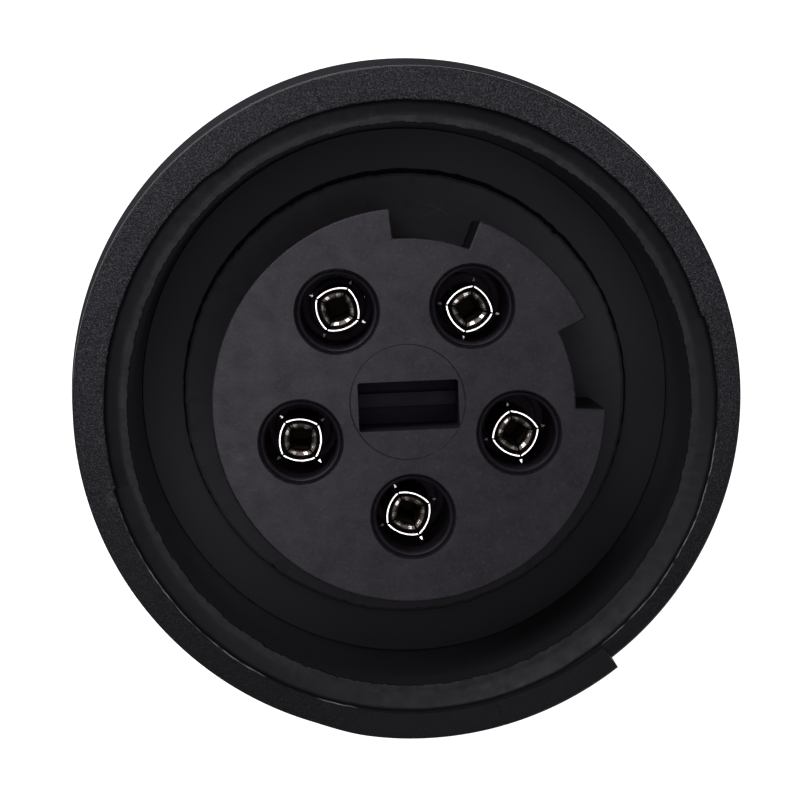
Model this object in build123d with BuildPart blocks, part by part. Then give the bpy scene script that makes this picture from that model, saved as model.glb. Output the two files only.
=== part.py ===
from build123d import *
import os
from math import cos, radians, sin

# Five-way circular cable connector, socket side, standing on its gland nut.
# Every height is given as a depth below the face of the coupling ring, and at() turns it into Z.

# Overall
total_length = 86.0
slip = 0.05
cutter_margin = 1.0

# Coupling ring
rim_radius = 24.05
rim_bevel = 0.25
rim_land = 5.0
collar_radius = 25.3
collar_depth = 14.5
ring_length = 33.0
mouth_step_radius = 21.86
mouth_step_wide = 22.04
mouth_step_depth = 1.3
lip_radius = 21.2
lip_depth = 1.0
lip_slope = 0.1
lip_round = 0.25
wall_radius = 20.25
wall_foot_radius = 20.1
skirt_bore = 22.0
web_front = 18.5
web_back = 21.0
skirt_taper = 1.3
skirt_taper_length = 1.8
collar_lean = 0.12
seam_angle = 16.4
flute_count = 30
flute_radius = 0.9
flute_bite = 0.5
flute_start = 17.0
flute_end = 29.5

# Stop cam on the rim: a block that rises towards one end, and a relief that fades out past it
cam_start = 253.0
cam_end = 308.4
cam_radius = 24.2
cam_inner_radius = 22.35
cam_rise = 0.8
relief_radii = [23.55, 23.65, 23.8, 23.95, 24.1]
relief_span = 95.0
relief_depth = 4.5

# Front housing
flange_radius = 19.95
flange_top = 16.2
flange_thickness = 1.4
neck_radius = 17.6
thread_root_radius = 17.0
housing_end = 31.9
housing_bore = 14.4
housing_counterbore = 15.1
key_width = 3.0
key_reach = 0.9
key_clearance = 0.1

# Contact insert, its seal and the rear insert behind it, all held in the housing's counterbore
insert_rim_radius = 15.0
insert_seal_start = 25.85
insert_rim_start = 26.7
insert_joint = 27.9
insert_radius = 14.1
insert_top = 0.6
nose_end = 15.2
insert_body_radius = 14.3
insert_turn = 2.4
insert_flange_radius = 16.6
insert_flange_thickness = 2.4
insert_tail_radius = 13.4
insert_end = 43.5
notch_floor_radius = 12.0
notch_depth = 14.4
notch_spans = [(69.0, 95.6), (-1.1, 26.1)]
pitch_radius = 8.26
pin_bore = 2.64
pin_bore_depth = 15.9
slot_length = 7.1
slot_width = 3.43
slot_depth = 24.0

# Socket contacts: corner angle of the four leaves, and the sideways float of the tip
contact_angles = [insert_turn + 54.0 + 72.0 * k for k in range(5)]
leaf_angles = [80.0, 63.6, 41.0, 26.8, 13.6]
tip_floats = [(0.0, -0.19), (0.08, 0.19), (0.05, 0.0), (-0.2, 0.12), (0.04, -0.15)]
contact_tip = 3.6
leaf_length = 12.0
leaf_flat = 1.54
leaf_corner = 1.7
leaf_chamfer = 0.1
leaf_slit = 0.16
slit_length = 11.0
throat_flat = 0.68
throat_corner = 0.86
throat_depth = 10.0
funnel_flat = 1.45
funnel_corner = 1.58
funnel_ledge_flat = 1.1
funnel_ledge_corner = 1.25
funnel_ledge_depth = 0.62
funnel_depth = 0.85
shank_radius = 2.15
barrel_radius = 2.9
wire_hole_radius = 1.9
wire_hole_depth = 12.0
clamp_screw_depth = 37.0
clamp_screw_radius = 1.47
clamp_screw_start = 0.9
clamp_screw_length = 3.4
screw_hole_clearance = 0.2
screw_slot_width = 0.5
screw_slot_depth = 0.8

# Contact retainer and its screw
retainer_radius = 13.0
retainer_thickness = 2.5
retainer_chamfer = 0.4
retainer_wire_hole = 2.2
retainer_screw_radius = 1.2
retainer_screw_length = 8.0
retainer_head_radius = 2.5
retainer_head_height = 1.5
cross_length = 3.2
cross_width = 0.6

# Seals
gasket_inner = 14.4
gasket_outer = 16.95
gasket_thickness = 1.0
gasket_chamfer = 0.25
o_ring_section = 0.6
o_ring_sides = 8
housing_groove_root = 15.85
housing_groove_start = 22.0
groove_width = 1.5
insert_seal_section = 0.38

# Wave spring
spring_thickness = 0.3
spring_gap = 8.0
wave_count = 3
wave_start = 45.0
wave_span = 30.0

# Rear sleeve
sleeve_nose_radius = 21.4
sleeve_grip_radius = 23.4
sleeve_grip_start = 33.6
sleeve_grip_end = 44.5
sleeve_shoulder_radius = 17.6
sleeve_shoulder = 51.5
chamber_radius = 15.2
chamber_end = 49.0
gland_thread_radius = 15.8
gland_thread_end = 67.5
bush_seat_radius = 10.0
bush_seat = 54.5
bush_seat_land = 2.0
cage_bore = 12.6
thread_chamfer = 0.5
grip_groove_count = 24
grip_groove_width = 2.2
grip_groove_depth = 0.5
grip_groove_margin = 1.5

# Clamp cage, bush, washer and nut
cage_inner_radius = 11.2
cage_flange_radius = 14.6
cage_flange_thickness = 1.5
finger_end = 76.0
finger_root_radius = 13.2
finger_tip_radius = 12.3
finger_count = 12
finger_gap = 0.9
finger_slit_root = 0.4
finger_slit_reach = 6.6
cable_radius = 7.0
bush_end = 75.0
bush_chamfer = 0.8
washer_inner_radius = 9.8
washer_outer_radius = 13.9
washer_thickness = 1.2
nut_start = 52.3
nut_chamfer = 0.6
nut_thread_end = 69.6
nut_seat = 77.4
nut_opening_radius = 9.4
nut_opening_flare = 1.2
nut_cavity_radius = 14.2
nut_radius = 18.6
nut_foot_radius = 14.6
nut_dome_start = 73.0
nut_rib_count = 12
nut_rib_reach = 0.9
nut_rib_width = 2.6
nut_rib_start = 54.3
nut_rib_foot = 75.0


def at(depth):
    """Height of a depth below the ring's face"""
    return total_length - depth


def polar(radius, angle):
    """Point at a radius and an angle from +X"""
    return (radius * cos(radians(angle)), radius * sin(radians(angle)))


def section(outline):
    """Closed half section from (radius, depth) corners, to turn about the axis"""
    with BuildSketch(Plane.XZ) as half:
        with BuildLine():
            Polyline(*[(radius, at(depth)) for radius, depth in outline], close=True)
        make_face()
    return half.sketch


def sector(inner, outer, start, end, depth):
    """Piece of a ring between two radii and two angles, lying at a depth"""
    middle = (start + end) / 2
    with BuildSketch(Plane.XY.offset(at(depth))) as piece:
        with BuildLine():
            ThreePointArc(polar(outer, start), polar(outer, middle), polar(outer, end))
            Line(polar(outer, end), polar(inner, end))
            ThreePointArc(polar(inner, end), polar(inner, middle), polar(inner, start))
            Line(polar(inner, start), polar(outer, start))
        make_face()
    return piece.sketch


def cushion(flat, corner, depth, centre, turn):
    """Square with bulging sides: flat is the reach of a side's middle, corner that of a corner"""
    with BuildSketch(Plane.XY.offset(at(depth))) as square:
        with BuildLine():
            for k in range(4):
                angle = turn + 90 * k
                ThreePointArc(polar(corner, angle), polar(flat, angle + 45), polar(corner, angle + 90))
        make_face()
    return square.sketch.moved(Location((centre[0], centre[1], 0)))


os.makedirs("parts", exist_ok=True)


def save(piece, name):
    """Label a finished piece and write it"""
    piece.part.label = name
    export_step(piece.part, f"parts/{name}.step")


# Cam block on the rim: a sector cut by a plane that leans along the rim
with BuildPart() as rim_cam:
    extrude(
        sector(cam_inner_radius, cam_radius, cam_start, cam_end, rim_land),
        amount=rim_land + 2 * cam_rise,
    )
    lean = cam_rise / (cam_radius * sin(radians(cam_end - cam_start)))
    run = Vector(*polar(1, cam_start + 90), lean)
    spoke = Vector(*polar(1, cam_start), 0)
    with BuildSketch(Plane((0, 0, at(0)), x_dir=spoke, z_dir=spoke.cross(run))):
        Rectangle(4 * rim_radius, 4 * rim_radius)
    extrude(amount=rim_land, mode=Mode.SUBTRACT)

# Coupling ring: rim, mouth, inner wall, web that turns on the neck, skirt and outer grip
with BuildPart() as coupling_ring:
    with BuildSketch(Plane.XZ):
        with BuildLine():
            Polyline(
                (rim_radius, at(rim_land)),
                (rim_radius, at(rim_bevel)),
                (rim_radius - rim_bevel, at(0)),
                (mouth_step_radius, at(0)),
                (mouth_step_radius, at(mouth_step_depth)),
                (lip_radius + lip_slope, at(mouth_step_depth)),
                (lip_radius, at(lip_depth)),
                (wall_radius + lip_round, at(lip_depth)),
                (wall_radius, at(lip_depth + lip_round)),
                (wall_foot_radius, at(web_front)),
                (neck_radius + slip, at(web_front)),
                (neck_radius + slip, at(web_back)),
                (skirt_bore, at(web_back)),
                (skirt_bore, at(ring_length)),
                (collar_radius - skirt_taper, at(ring_length)),
                (collar_radius, at(ring_length - skirt_taper_length)),
                (collar_radius, at(collar_depth)),
            )
            Spline(
                (collar_radius, at(collar_depth)),
                (rim_radius, at(rim_land)),
                tangents=[(-collar_lean, 1), (0, 1)],
            )
        make_face()
    revolve(axis=Axis.Z)
    half_mouth = sector(
        lip_radius + lip_slope,
        mouth_step_wide,
        seam_angle + 180,
        seam_angle + 360,
        mouth_step_depth,
    )
    extrude(half_mouth, amount=mouth_step_depth, mode=Mode.SUBTRACT)
    add(rim_cam.part)
    with BuildSketch(Plane.XY.offset(at(relief_depth))):
        with BuildLine():
            step = relief_span / (len(relief_radii) - 1)
            relief = [polar(r, cam_end + step * k) for k, r in enumerate(relief_radii)]
            outside = [polar(collar_radius + cutter_margin, cam_end + relief_span * k / 2) for k in range(3)]
            Spline(*relief)
            Line(relief[-1], outside[2])
            ThreePointArc(outside[2], outside[1], outside[0])
            Line(outside[0], relief[0])
        make_face()
    extrude(amount=rim_land, mode=Mode.SUBTRACT)
    with BuildSketch(Plane.XY.offset(at(flute_end))):
        with PolarLocations(collar_radius + flute_radius - flute_bite, flute_count):
            Circle(flute_radius)
    extrude(amount=flute_end - flute_start, mode=Mode.SUBTRACT)
save(coupling_ring, "coupling_ring")

# Front housing: flange that fills the foot of the recess, neck that the ring turns on, threaded tail
with BuildPart() as front_housing:
    flange_back = flange_top + flange_thickness
    groove_end = housing_groove_start + groove_width
    revolve(
        section(
            [
                (housing_bore, flange_top),
                (flange_radius, flange_top),
                (flange_radius, flange_back),
                (neck_radius, flange_back),
                (neck_radius, web_back + slip),
                (thread_root_radius, web_back + slip),
                (thread_root_radius, housing_groove_start),
                (housing_groove_root, housing_groove_start),
                (housing_groove_root, groove_end),
                (thread_root_radius, groove_end),
                (thread_root_radius, housing_end),
                (housing_counterbore, housing_end),
                (housing_counterbore, insert_seal_start),
                (housing_bore, insert_seal_start),
            ]
        ),
        axis=Axis.Z,
    )
    with BuildSketch(Plane.XY.offset(at(housing_end))):
        with PolarLocations(insert_rim_radius, 1, start_angle=insert_turn + 180):
            Rectangle(2 * (key_reach + key_clearance), key_width + 2 * key_clearance)
    extrude(amount=housing_end - insert_rim_start + slip, mode=Mode.SUBTRACT)
save(front_housing, "front_housing")

# Flat seal that the mating shell presses on
with BuildPart() as interface_gasket:
    gasket_top = flange_top - gasket_thickness
    revolve(
        section(
            [
                (gasket_inner, gasket_top + gasket_chamfer),
                (gasket_inner + gasket_chamfer, gasket_top),
                (gasket_outer - gasket_chamfer, gasket_top),
                (gasket_outer, gasket_top + gasket_chamfer),
                (gasket_outer, flange_top),
                (gasket_inner, flange_top),
            ]
        ),
        axis=Axis.Z,
    )
save(interface_gasket, "interface_gasket")

# Wave spring between the flange and the ring's web: a flat ring with three raised bows
with BuildPart() as wave_spring:
    spring_inner = neck_radius + 2 * slip
    spring_outer = flange_radius - 2 * slip
    spring_foot = web_front - slip
    bow_foot = spring_foot - spring_thickness
    gap = spring_gap / 2
    extrude(
        sector(spring_inner, spring_outer, gap, 360 - gap, spring_foot),
        amount=spring_thickness,
    )
    for k in range(wave_count):
        bow_start = wave_start + 360 * k / wave_count
        extrude(
            sector(spring_inner, spring_outer, bow_start, bow_start + wave_span, bow_foot),
            amount=bow_foot - flange_back - slip,
        )
save(wave_spring, "wave_spring")


def seal_section(radius, depth, thickness):
    """Section of a seal ring, about its middle"""
    with BuildSketch(Plane.XZ) as section_face:
        with Locations((radius, at(depth))):
            RegularPolygon(thickness, o_ring_sides, rotation=180 / o_ring_sides)
    return section_face.sketch


# Seal ring in the housing's groove
with BuildPart() as housing_o_ring:
    seal_middle = housing_groove_start + groove_width / 2
    revolve(
        seal_section(housing_groove_root + o_ring_section, seal_middle, o_ring_section),
        axis=Axis.Z,
    )
save(housing_o_ring, "housing_o_ring")

# Seal ring between the insert's rim and the counterbore's shoulder
with BuildPart() as insert_o_ring:
    seal_radius = (insert_body_radius + housing_counterbore) / 2
    seal_middle = (insert_seal_start + insert_rim_start) / 2
    revolve(seal_section(seal_radius, seal_middle, insert_seal_section), axis=Axis.Z)
save(insert_o_ring, "insert_o_ring")

# Contact insert: nose with two keyways, five contact cavities, slot and a keyed rim
with BuildPart() as contact_insert:
    revolve(
        section(
            [
                (0, insert_top),
                (insert_radius, insert_top),
                (insert_radius, nose_end),
                (insert_body_radius, nose_end),
                (insert_body_radius, insert_rim_start),
                (insert_rim_radius, insert_rim_start),
                (insert_rim_radius, insert_joint),
                (0, insert_joint),
            ]
        ),
        axis=Axis.Z,
    )
    for start, end in notch_spans:
        extrude(
            sector(
                notch_floor_radius,
                insert_radius + cutter_margin,
                start,
                end,
                insert_top + notch_depth,
            ),
            amount=notch_depth + cutter_margin,
            mode=Mode.SUBTRACT,
        )
    with BuildSketch(Plane.XY.offset(at(insert_joint))):
        with PolarLocations(insert_rim_radius, 1, start_angle=insert_turn + 180):
            Rectangle(2 * key_reach, key_width)
    extrude(amount=insert_joint - insert_rim_start)
    with BuildSketch(Plane.XY.offset(at(insert_top))):
        with PolarLocations(pitch_radius, 5, start_angle=contact_angles[0]):
            Circle(pin_bore)
    extrude(amount=-pin_bore_depth, mode=Mode.SUBTRACT)
    with BuildSketch(Plane.XY.offset(at(insert_top))):
        with PolarLocations(pitch_radius, 5, start_angle=contact_angles[0]):
            Circle(shank_radius + slip)
    extrude(amount=insert_top - insert_joint, mode=Mode.SUBTRACT)
    with BuildSketch(Plane.XY.offset(at(insert_top))):
        Rectangle(slot_length, slot_width, rotation=insert_turn)
    extrude(amount=-slot_depth, mode=Mode.SUBTRACT)
save(contact_insert, "contact_insert")

# Rear insert: keyed body, flange, barrel cavities, and side slots that the clamping screws slide in by
with BuildPart() as rear_insert:
    flange_end = housing_end + insert_flange_thickness
    side_slot_width = 2 * (clamp_screw_radius + screw_hole_clearance)
    side_slot_length = insert_end - clamp_screw_depth
    revolve(
        section(
            [
                (0, insert_joint),
                (insert_rim_radius, insert_joint),
                (insert_rim_radius, housing_end),
                (insert_flange_radius, housing_end),
                (insert_flange_radius, flange_end),
                (insert_tail_radius, flange_end),
                (insert_tail_radius, insert_end),
                (0, insert_end),
            ]
        ),
        axis=Axis.Z,
    )
    with BuildSketch(Plane.XY.offset(at(housing_end))):
        with PolarLocations(insert_rim_radius, 1, start_angle=insert_turn + 180):
            Rectangle(2 * key_reach, key_width)
    extrude(amount=housing_end - insert_joint)
    with BuildSketch(Plane.XY.offset(at(insert_end))):
        Circle(retainer_screw_radius + slip / 2)
    extrude(amount=retainer_screw_length + 2 * slip, mode=Mode.SUBTRACT)
    with BuildSketch(Plane.XY.offset(at(insert_end))):
        with PolarLocations(pitch_radius, 5, start_angle=contact_angles[0]):
            Circle(barrel_radius + slip)
    extrude(amount=insert_end - insert_joint, mode=Mode.SUBTRACT)
    for angle in contact_angles:
        spoke = Plane((0, 0, at(clamp_screw_depth)), x_dir=(0, 0, 1), z_dir=(*polar(1, angle), 0))
        with BuildSketch(spoke.offset(pitch_radius)):
            Circle(side_slot_width / 2)
            with Locations((-side_slot_length / 2, 0)):
                Rectangle(side_slot_length, side_slot_width)
        extrude(amount=insert_tail_radius, mode=Mode.SUBTRACT)
save(rear_insert, "rear_insert")

# Socket contacts: four slit leaves round a funnel mouth, a shank and a screw barrel
for k, angle in enumerate(contact_angles):
    x, y = polar(pitch_radius, angle)
    tip = (x + tip_floats[k][0], y + tip_floats[k][1])
    corner = leaf_angles[k]
    leaf_root = contact_tip + leaf_length
    with BuildPart() as socket_contact:
        extrude(cushion(leaf_flat, leaf_corner, leaf_root, tip, corner), amount=leaf_length)
        chamfer(socket_contact.faces().sort_by(Axis.Z)[-1].edges(), length=leaf_chamfer)
        extrude(
            cushion(throat_flat, throat_corner, contact_tip, tip, corner),
            amount=-throat_depth,
            mode=Mode.SUBTRACT,
        )
        ledge = cushion(
            funnel_ledge_flat,
            funnel_ledge_corner,
            contact_tip + funnel_ledge_depth,
            tip,
            corner,
        )
        loft(
            [cushion(funnel_flat, funnel_corner, contact_tip, tip, corner), ledge],
            mode=Mode.SUBTRACT,
        )
        loft(
            [ledge, cushion(throat_flat, throat_corner, contact_tip + funnel_depth, tip, corner)],
            mode=Mode.SUBTRACT,
        )
        with BuildSketch(Plane.XY.offset(at(contact_tip))):
            with Locations(tip):
                Rectangle(4 * leaf_corner, leaf_slit, rotation=corner)
                Rectangle(4 * leaf_corner, leaf_slit, rotation=corner + 90)
        extrude(amount=-slit_length, mode=Mode.SUBTRACT)
        with BuildSketch(Plane.XY.offset(at(leaf_root))):
            with Locations((x, y)):
                Circle(shank_radius)
        extrude(amount=leaf_root - insert_joint)
        with BuildSketch(Plane.XY.offset(at(insert_joint))):
            with Locations((x, y)):
                Circle(barrel_radius)
        extrude(amount=insert_joint - insert_end)
        with BuildSketch(Plane.XY.offset(at(insert_end))):
            with Locations((x, y)):
                Circle(wire_hole_radius)
        extrude(amount=wire_hole_depth, mode=Mode.SUBTRACT)
        spoke = Plane((0, 0, at(clamp_screw_depth)), x_dir=(0, 0, 1), z_dir=(*polar(1, angle), 0))
        with BuildSketch(spoke.offset(pitch_radius)):
            Circle(clamp_screw_radius + slip / 2)
        extrude(amount=2 * barrel_radius, mode=Mode.SUBTRACT)
    save(socket_contact, f"socket_contact_{k + 1}")

    # Clamping screw, turned in from the side of the insert
    with BuildPart() as terminal_screw:
        screw_start = pitch_radius + clamp_screw_start
        with BuildSketch(spoke.offset(screw_start)):
            Circle(clamp_screw_radius)
        extrude(amount=clamp_screw_length)
        with BuildSketch(spoke.offset(screw_start + clamp_screw_length)):
            Rectangle(3 * clamp_screw_radius, screw_slot_width)
        extrude(amount=-screw_slot_depth, mode=Mode.SUBTRACT)
    save(terminal_screw, f"terminal_screw_{k + 1}")

# Plate that keeps the contacts in the insert, and the screw that holds it
with BuildPart() as contact_retainer:
    retainer_back = insert_end + retainer_thickness
    revolve(
        section(
            [
                (retainer_screw_radius + 2 * slip, insert_end),
                (retainer_radius, insert_end),
                (retainer_radius, retainer_back - retainer_chamfer),
                (retainer_radius - retainer_chamfer, retainer_back),
                (retainer_screw_radius + 2 * slip, retainer_back),
            ]
        ),
        axis=Axis.Z,
    )
    with BuildSketch(Plane.XY.offset(at(retainer_back))):
        with PolarLocations(pitch_radius, 5, start_angle=contact_angles[0]):
            Circle(retainer_wire_hole)
    extrude(amount=retainer_thickness, mode=Mode.SUBTRACT)
save(contact_retainer, "contact_retainer")

with BuildPart() as retainer_screw:
    head_back = retainer_back + retainer_head_height
    screw_tip = insert_end - retainer_screw_length
    revolve(
        section(
            [
                (0, screw_tip),
                (retainer_screw_radius - retainer_chamfer, screw_tip),
                (retainer_screw_radius, screw_tip + retainer_chamfer),
                (retainer_screw_radius, retainer_back),
                (retainer_head_radius, retainer_back),
                (retainer_head_radius, head_back - retainer_chamfer),
                (retainer_head_radius - retainer_chamfer, head_back),
                (0, head_back),
            ]
        ),
        axis=Axis.Z,
    )
    with BuildSketch(Plane.XY.offset(at(head_back))):
        Rectangle(cross_length, cross_width)
        Rectangle(cross_width, cross_length)
    extrude(amount=screw_slot_depth, mode=Mode.SUBTRACT)
save(retainer_screw, "retainer_screw")

# Rear sleeve: nose under the ring's skirt, ribbed grip, shoulder and gland thread
with BuildPart() as rear_sleeve:
    with BuildSketch(Plane.XZ):
        with BuildLine():
            Polyline(
                (sleeve_grip_radius, at(sleeve_grip_end)),
                (sleeve_grip_radius, at(sleeve_grip_start)),
                (sleeve_nose_radius, at(sleeve_grip_start)),
                (sleeve_nose_radius, at(web_back + slip)),
                (thread_root_radius + slip, at(web_back + slip)),
                (thread_root_radius + slip, at(flange_end)),
                (chamber_radius, at(flange_end)),
                (chamber_radius, at(chamber_end)),
                (bush_seat_radius, at(bush_seat - bush_seat_land)),
                (bush_seat_radius, at(bush_seat)),
                (cage_bore, at(bush_seat)),
                (cage_bore, at(gland_thread_end)),
                (gland_thread_radius - thread_chamfer, at(gland_thread_end)),
                (gland_thread_radius, at(gland_thread_end - thread_chamfer)),
                (gland_thread_radius, at(sleeve_shoulder)),
                (sleeve_shoulder_radius, at(sleeve_shoulder)),
            )
            TangentArc(
                (sleeve_shoulder_radius, at(sleeve_shoulder)),
                (sleeve_grip_radius, at(sleeve_grip_end)),
                tangent=(0, 1),
            )
        make_face()
    revolve(axis=Axis.Z)
    with BuildSketch(Plane.XY.offset(at(sleeve_grip_end - grip_groove_margin))):
        with PolarLocations(sleeve_grip_radius, grip_groove_count):
            Rectangle(2 * grip_groove_depth, grip_groove_width)
    groove_length = sleeve_grip_end - sleeve_grip_start - 2 * grip_groove_margin
    extrude(amount=groove_length, mode=Mode.SUBTRACT)
save(rear_sleeve, "rear_sleeve")

# Clamp cage: collar in the sleeve, flange on its end, and fingers that close on the bush
with BuildPart() as clamp_cage:
    cage_flange_end = gland_thread_end + cage_flange_thickness
    revolve(
        section(
            [
                (cage_inner_radius, bush_seat + slip),
                (cage_bore - slip, bush_seat + slip),
                (cage_bore - slip, gland_thread_end),
                (cage_flange_radius, gland_thread_end),
                (cage_flange_radius, cage_flange_end),
                (finger_root_radius, cage_flange_end),
                (finger_tip_radius, finger_end),
                (cage_inner_radius, finger_end),
            ]
        ),
        axis=Axis.Z,
    )
    with BuildSketch(Plane.XY.offset(at(finger_end))):
        with PolarLocations(finger_root_radius, finger_count):
            Rectangle(finger_slit_reach, finger_gap)
    extrude(amount=finger_end - cage_flange_end - finger_slit_root, mode=Mode.SUBTRACT)
save(clamp_cage, "clamp_cage")

# Rubber bush that grips the cable
with BuildPart() as sealing_bush:
    revolve(
        section(
            [
                (cable_radius + bush_chamfer, bush_seat),
                (cage_inner_radius - slip, bush_seat),
                (cage_inner_radius - slip, bush_end - bush_chamfer),
                (cage_inner_radius - slip - bush_chamfer, bush_end),
                (cable_radius + bush_chamfer, bush_end),
                (cable_radius, bush_end - bush_chamfer),
                (cable_radius, bush_seat + bush_chamfer),
            ]
        ),
        axis=Axis.Z,
    )
save(sealing_bush, "sealing_bush")

# Slip washer between the fingers and the nut
with BuildPart() as gland_washer:
    washer_top = nut_seat - slip - washer_thickness
    revolve(
        section(
            [
                (washer_inner_radius, washer_top),
                (washer_outer_radius, washer_top),
                (washer_outer_radius, nut_seat - slip),
                (washer_inner_radius, nut_seat - slip),
            ]
        ),
        axis=Axis.Z,
    )
save(gland_washer, "gland_washer")

# Gland nut: ribbed barrel, domed end and flat foot
with BuildPart() as gland_nut:
    with BuildSketch(Plane.XZ):
        with BuildLine():
            Polyline(
                (nut_radius, at(nut_dome_start)),
                (nut_radius, at(nut_start + nut_chamfer)),
                (nut_radius - nut_chamfer, at(nut_start)),
                (gland_thread_radius + nut_chamfer, at(nut_start)),
                (gland_thread_radius + slip, at(nut_start + nut_chamfer)),
                (gland_thread_radius + slip, at(nut_thread_end)),
                (nut_cavity_radius, at(nut_thread_end)),
                (nut_cavity_radius, at(nut_seat)),
                (nut_opening_radius, at(nut_seat)),
                (nut_opening_radius, at(total_length - nut_opening_flare)),
                (nut_opening_radius + nut_opening_flare, at(total_length)),
                (nut_foot_radius, at(total_length)),
            )
            TangentArc(
                (nut_radius, at(nut_dome_start)),
                (nut_foot_radius, at(total_length)),
                tangent=(0, -1),
            )
        make_face()
    revolve(axis=Axis.Z)
    with BuildSketch(Plane.XY.offset(at(nut_rib_foot))):
        with PolarLocations(nut_radius, nut_rib_count):
            Rectangle(2 * nut_rib_reach, nut_rib_width)
    extrude(amount=nut_rib_foot - nut_rib_start)
save(gland_nut, "gland_nut")
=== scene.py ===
import math

import bmesh
import bpy
from mathutils import Matrix, Vector, noise


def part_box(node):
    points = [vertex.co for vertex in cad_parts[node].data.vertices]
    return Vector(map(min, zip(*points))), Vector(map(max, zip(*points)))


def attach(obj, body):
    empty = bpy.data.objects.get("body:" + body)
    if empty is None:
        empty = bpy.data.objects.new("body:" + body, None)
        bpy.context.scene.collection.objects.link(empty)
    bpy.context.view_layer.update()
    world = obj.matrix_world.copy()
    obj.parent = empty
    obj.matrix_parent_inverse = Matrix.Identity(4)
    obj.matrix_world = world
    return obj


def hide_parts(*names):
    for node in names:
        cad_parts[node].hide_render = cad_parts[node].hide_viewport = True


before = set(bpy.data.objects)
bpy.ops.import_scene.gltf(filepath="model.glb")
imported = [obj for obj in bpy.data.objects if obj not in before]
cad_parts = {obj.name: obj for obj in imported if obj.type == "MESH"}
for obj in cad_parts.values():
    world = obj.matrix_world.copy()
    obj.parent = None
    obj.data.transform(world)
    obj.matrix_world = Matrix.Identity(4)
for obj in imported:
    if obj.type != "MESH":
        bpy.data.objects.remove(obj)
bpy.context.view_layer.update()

MM = 0.001

# Places along the axis, from the frame. Depths are millimetres below the face of the coupling ring.
CAM_RISE = 0.8
FACE_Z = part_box("coupling_ring")[1].z / MM - CAM_RISE
NOSE_DEPTH = FACE_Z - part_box("contact_insert")[1].z / MM

# Coupling ring
RIM = 24.05
MOUTH = 21.86
MOUTH_WIDE = 22.04
CAM_FROM, CAM_TO, CAM_REACH, CAM_INNER = 253.0, 308.4, 24.2, 22.35
CAM_RUN = 10.0
RELIEF = [23.55, 23.65, 23.8, 23.95, 24.05]
RELIEF_SPAN = 95.0
FACE_LEAN = 0.2
SEAM = 16.4
SEAMS = [SEAM, SEAM + 90, SEAM + 180, SEAM + 270]
SEAM_DEPTH, SEAM_HALF = 0.03, 0.16
SEAM_NICK, EDGE_NICK, EDGE_KINK = SEAM + 90.3, 198.0, 128.5
# Spans of the mouth's edge painted with a highlight, on the lower side where the edge faces the light
EDGE_HIGHLIGHTS = [(199, 243), (252, 261), (308, 356)]
SCUFFED = (125.0, 131.5)
COLLAR, COLLAR_DEPTH, LAND = 25.3, 14.5, 5.0
WALL, WALL_FOOT, WALL_TOP, LIP, LIP_DEPTH = 20.25, 20.1, 1.3, 20.85, 1.0
WEB, WEB_BACK, SKIRT_INNER, SKIRT_END = 18.5, 21.0, 22.0, 33.0
MOUTH_X, MOUTH_Y = 0.08, -0.24
FLUTES, FLUTE_R, FLUTE_DEEP, FLUTE_RUN, FLUTE_FROM, FLUTE_TO = 30, 0.9, 0.5, 0.5, 17.0, 29.5

# Front housing, its seal, and the sleeve and nut behind
FLOOR, FLANGE, FLANGE_BACK = 16.2, 19.95, 17.6
NECK, TAIL, TAIL_END = 17.6, 17.0, 31.9
GROOVE, GROOVE_FROM, GROOVE_TO = 15.85, 22.05, 23.45
GASKET_TOP, GASKET_EDGE, GASKET_FOOT = 15.2, 16.8, 16.19
GASKET_CRACKS = [121.0, 139.0, 233.0, 254.0]
PITCH_OF_THREAD = 1.5
SLEEVE_NOSE, GRIP, GRIP_FROM, GRIP_TO = 21.4, 23.4, 33.6, 44.5
GRIP_GROOVES, GRIP_GROOVE = 24, 0.5
SHOULDER, SHOULDER_END = 17.6, 51.5
FLARE = ((GRIP - SHOULDER) ** 2 + (SHOULDER_END - GRIP_TO) ** 2) / (2 * (GRIP - SHOULDER))
FLARE_START = math.pi - math.asin((SHOULDER_END - GRIP_TO) / FLARE)
GLAND, GLAND_END, CAGE_BORE, CHAMBER = 15.8, 67.5, 12.6, 15.2
NUT_TOP, NUT_SIDE, NUT_RIB, NUT_RIBS = 52.3, 18.6, 0.85, 12
DOME_IN, DOME_RISE, DOME_TOP = 14.6, 12.85, 73.0

# Contact insert
NOSE, NOTCH_FLOOR, NOTCH_END = 14.1, 12.0, 15.0
BODY, INSERT_RIM, INSERT_END = 14.3, 15.0, 27.9
NOTCHES = [(69.0, 95.6), (-1.1, 26.1)]
NOSE_X, NOSE_Y, NOSE_WIDE = 0.03, -0.22, 0.07
TURN = 2.4
SLOT_HALF, SLOT_UPPER, SLOT_LOWER, SLOT_CORNER, SLOT_END = 3.42, 1.31, -1.82, 0.2, 24.6
CIRCLE, CIRCLE_LINE, CIRCLE_X = 4.14, 0.05, -0.06
PITCH = 8.26
BORE, BORE_MOUTH, BORE_STEP, BORE_DEPTH, SHANK_BORE = 2.64, 3.1, 1.1, 15.9, 2.2
CONTACT_ANGLES = [TURN + 54.0 + 72.0 * k for k in range(5)]
LEAF_ANGLES = [80.0, 63.6, 41.0, 26.8, 13.6]
TIP_FLOATS = [(-0.1, -0.28), (0.03, 0.1), (-0.06, -0.04), (-0.29, -0.04), (-0.12, -0.25)]
TIP_DEPTH, TIP_SCALE, SLIT_HALF = 3.6, 1.035, 0.06
SHANK, SHANK_TOP, BARREL, BARREL_END, BARREL_BORE = 2.15, 15.55, 2.9, 43.5, 1.9
SCREW_DEPTH, SCREW_HOLE = 37.0, 1.5

# Camera: the photograph's scale at the face, the distance its perspective shows, and where the axis falls
PIXELS_PER_MM = 14.01
DISTANCE = 220.0
CAMERA_X, CAMERA_Y = -4.4, 12.8
AXIS_PIXEL_X, AXIS_PIXEL_Y = 408.7, 402.7
FRAME_PIXELS = 800.0
SENSOR = 36.0

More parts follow.
